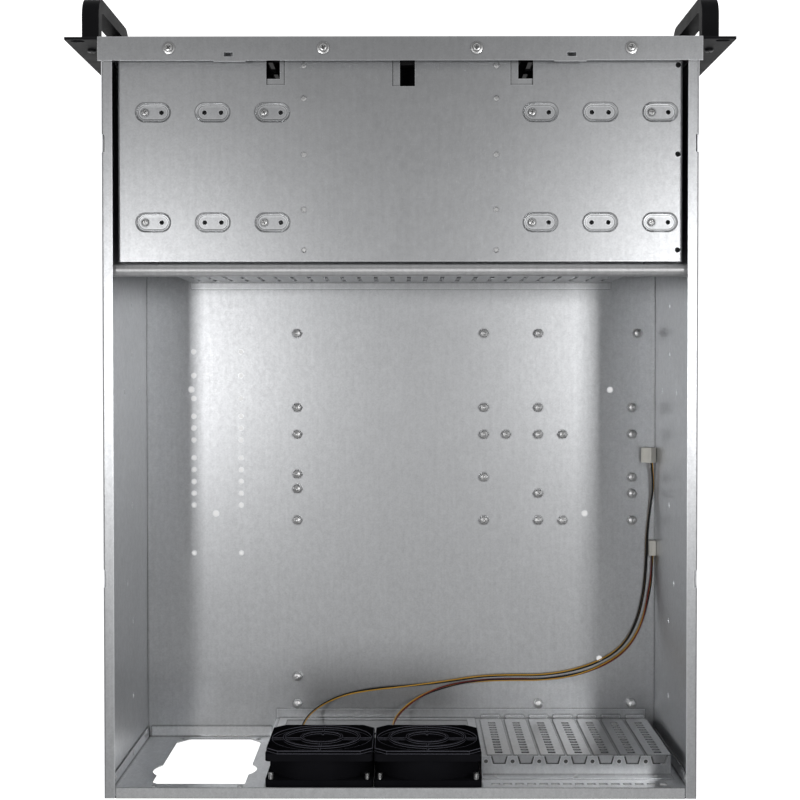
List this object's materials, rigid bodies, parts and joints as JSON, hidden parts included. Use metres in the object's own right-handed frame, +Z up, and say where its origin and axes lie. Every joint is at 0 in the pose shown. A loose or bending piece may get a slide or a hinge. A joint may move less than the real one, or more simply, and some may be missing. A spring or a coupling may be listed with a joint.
{
  "type": "empty rackmount server case",
  "caption": "Open-topped rackmount server case of folded plated steel, with rack ears, bow handles, a drive bay, rear fans and expansion slot covers.",
  "frame": {"origin": "centre of the case's underside, midway between the face plate's front and the rear wall", "axes": "+Z up, -Y to the front (ears and handles), +X to the side with the power supply cut-out"},
  "size_m": [0.4826, 0.5894, 0.179],
  "materials": {
    "zinc_steel": "galvanised sheet, fine spangle, satin",
    "black_steel": "black powder coat",
    "black_plastic": "black moulded, satin",
    "screw_steel": "bright zinc plate",
    "connector_plastic": "off-white nylon",
    "lead_sheath": "twisted black, red and yellow strands",
    "lamp_lens": "clear lens"
  },
  "bodies": {
    "case": {"bay_cage": "zinc_steel", "bay_divider_left": "zinc_steel", "bay_divider_right": "zinc_steel", "bay_rivets": "screw_steel", "board_standoffs": "screw_steel", "chassis_tray": "zinc_steel", "crossbar": "zinc_steel", "drive_lamp": "lamp_lens", "drive_screws": "screw_steel", "expansion_slot_frame": "zinc_steel", "fan_lead_left": "lead_sheath", "fan_lead_left_connector": "connector_plastic", "fan_lead_right": "lead_sheath", "fan_lead_right_connector": "connector_plastic", "front_fan_frame": "black_plastic", "front_frame": "zinc_steel", "front_panel": "black_steel", "front_top_rail": "zinc_steel", "handle_left": "black_steel", "handle_right": "black_steel", "handle_screws": "screw_steel", "partition_wall": "zinc_steel", "port_plate": "zinc_steel", "power_lamp": "lamp_lens", "rail_screws": "screw_steel", "rear_fan_left_frame": "black_plastic", "rear_fan_left_guard": "black_plastic", "rear_fan_left_screws": "screw_steel", "rear_fan_right_frame": "black_plastic", "rear_fan_right_guard": "black_plastic", "rear_fan_right_screws": "screw_steel", "rear_panel": "zinc_steel", "rear_wall_rivets": "screw_steel", "slot_cover_1": "zinc_steel", "slot_cover_2": "zinc_steel", "slot_cover_3": "zinc_steel", "slot_cover_4": "zinc_steel", "slot_cover_5": "zinc_steel", "slot_cover_6": "zinc_steel", "slot_cover_7": "zinc_steel", "slot_frame_rivets": "screw_steel", "switch_block": "black_plastic"},
    "rear_fan_left_rotor": {"rear_fan_left_rotor": "black_plastic"},
    "rear_fan_right_rotor": {"rear_fan_right_rotor": "black_plastic"},
    "front_fan_rotor": {"front_fan_rotor": "black_plastic"},
    "power_button": {"power_button": "black_plastic"},
    "reset_button": {"reset_button": "black_plastic"}
  },
  "joints": [
    {"name": "rear_fan_left_spin", "type": "hinge", "parent": "case", "child": "rear_fan_left_rotor", "pos_m": [0.0605, 0.262, 0.112], "axis": [0, 1, 0], "continuous": true},
    {"name": "rear_fan_right_spin", "type": "hinge", "parent": "case", "child": "rear_fan_right_rotor", "pos_m": [-0.0205, 0.262, 0.112], "axis": [0, 1, 0], "continuous": true},
    {"name": "front_fan_spin", "type": "hinge", "parent": "case", "child": "front_fan_rotor", "pos_m": [0, -0.26, 0.082], "axis": [0, 1, 0], "continuous": true},
    {"name": "power_button_press", "type": "slide", "parent": "case", "child": "power_button", "axis": [0, 1, 0], "range_m": [0, 0.0012], "stiffness_N_per_m": 400},
    {"name": "reset_button_press", "type": "slide", "parent": "case", "child": "reset_button", "axis": [0, 1, 0], "range_m": [0, 0.0012], "stiffness_N_per_m": 400}
  ]
}
